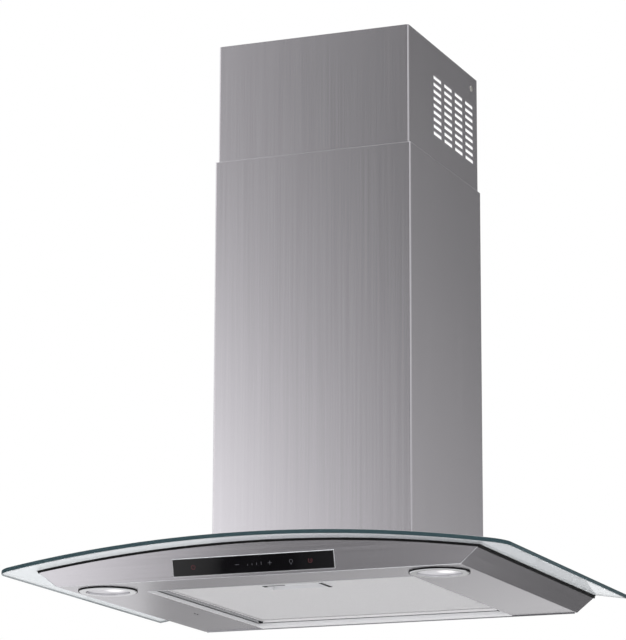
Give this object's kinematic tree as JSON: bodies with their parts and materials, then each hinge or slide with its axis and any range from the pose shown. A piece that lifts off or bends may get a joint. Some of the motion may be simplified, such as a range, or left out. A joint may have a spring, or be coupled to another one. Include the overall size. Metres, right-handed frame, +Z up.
{
  "type": "wall mount range hood",
  "caption": "Wall mounted kitchen range hood: slim steel canopy under arched glass, touch panel, spot lamps, drop-down grease filter, fan and telescopic chimney.",
  "frame": {"origin": "middle of the four wall screw holes, on the wall face of the fan casing's back plate", "axes": "+X to the right seen from the front, +Y into the wall, +Z up"},
  "size_m": [0.6, 0.445, 0.6676],
  "materials": {
    "stainless_sheet": "satin",
    "galvanised_sheet": "satin",
    "canopy_glass": "polished",
    "gasket_rubber": "matte",
    "panel_glass": "polished",
    "black_plastic": "matte",
    "circuit_board": "satin",
    "lamp_chrome": "polished",
    "lamp_diffuser": "satin",
    "bare_aluminium": "satin",
    "grey_plastic": "satin",
    "white_nylon": "satin",
    "spring_steel": "satin",
    "plain_steel": "satin",
    "zinc_screws": "satin",
    "motor_steel": "satin",
    "laminated_steel": "matte",
    "lead_pvc": "satin"
  },
  "bodies": {
    "hood": {"underside_panel": "stainless_sheet", "front_fascia": "stainless_sheet", "side_fascia_left": "stainless_sheet", "side_fascia_right": "stainless_sheet", "lower_chimney_cover": "stainless_sheet", "rear_panel": "galvanised_sheet", "canopy_top_plate": "galvanised_sheet", "filter_bay": "galvanised_sheet", "casing_shell": "galvanised_sheet", "casing_back": "galvanised_sheet", "casing_top": "galvanised_sheet", "glass_clips": "galvanised_sheet", "cover_hooks": "galvanised_sheet", "outlet_spigot": "galvanised_sheet", "motor_bracket": "galvanised_sheet", "glass_canopy": "canopy_glass", "glass_gasket": "gasket_rubber", "cable_grommet": "gasket_rubber", "control_panel_glass": "panel_glass", "control_panel_holder": "black_plastic", "scroll_left": "black_plastic", "scroll_right": "black_plastic", "junction_box": "black_plastic", "junction_box_lid": "black_plastic", "control_board": "circuit_board", "lamp_bezel_left": "lamp_chrome", "lamp_bezel_right": "lamp_chrome", "lamp_lens_left": "lamp_diffuser", "lamp_lens_right": "lamp_diffuser", "lamp_module_left": "bare_aluminium", "lamp_module_right": "bare_aluminium", "run_capacitor": "bare_aluminium", "slide_pads": "white_nylon", "catch_spring": "spring_steel", "motor_bearings": "plain_steel", "flap_pin": "plain_steel", "casing_screws": "zinc_screws", "spigot_screws": "zinc_screws", "scroll_screws": "zinc_screws", "motor_can": "motor_steel", "motor_end_cap": "motor_steel", "motor_stator": "laminated_steel", "wiring_leads": "lead_pvc"},
    "upper_cover": {"upper_chimney_cover": "stainless_sheet", "chimney_bracket": "galvanised_sheet", "bracket_screws": "zinc_screws"},
    "filter": {"filter_frame": "bare_aluminium", "filter_mesh": "bare_aluminium", "filter_layers": "bare_aluminium", "filter_hinge_pins": "plain_steel", "latch_housing": "grey_plastic", "latch_spring": "spring_steel"},
    "latch": {"filter_latch": "grey_plastic"},
    "fan": {"impeller_disc": "grey_plastic", "impeller_cage_left": "grey_plastic", "impeller_cage_right": "grey_plastic", "motor_shaft": "plain_steel", "motor_rotor": "laminated_steel"},
    "flap_front": {"damper_flap_front": "grey_plastic"},
    "flap_rear": {"damper_flap_rear": "grey_plastic"}
  },
  "joints": [
    {"name": "upper_cover_slide", "type": "slide", "parent": "hood", "child": "upper_cover", "axis": [0, 0, 1], "range_m": [-0.14, 0.19]},
    {"name": "filter_hinge", "type": "hinge", "parent": "hood", "child": "filter", "pos_m": [0, -0.0285, -0.1705], "axis": [1, 0, 0], "range_deg": [0, 75], "deforming": ["catch_spring"]},
    {"name": "latch_slide", "type": "slide", "parent": "filter", "child": "latch", "axis": [0, 1, 0], "range_m": [0, 0.006], "stiffness_N_per_m": 300, "deforming": ["latch_spring"]},
    {"name": "fan_spin", "type": "hinge", "parent": "hood", "child": "fan", "pos_m": [0, -0.088, -0.04], "axis": [1, 0, 0], "continuous": true},
    {"name": "flap_front_hinge", "type": "hinge", "parent": "hood", "child": "flap_front", "pos_m": [0, -0.128, 0.14], "axis": [-1, 0, 0], "range_deg": [0, 75]},
    {"name": "flap_rear_hinge", "type": "hinge", "parent": "hood", "child": "flap_rear", "pos_m": [0, -0.128, 0.14], "axis": [1, 0, 0], "range_deg": [0, 75]}
  ]
}
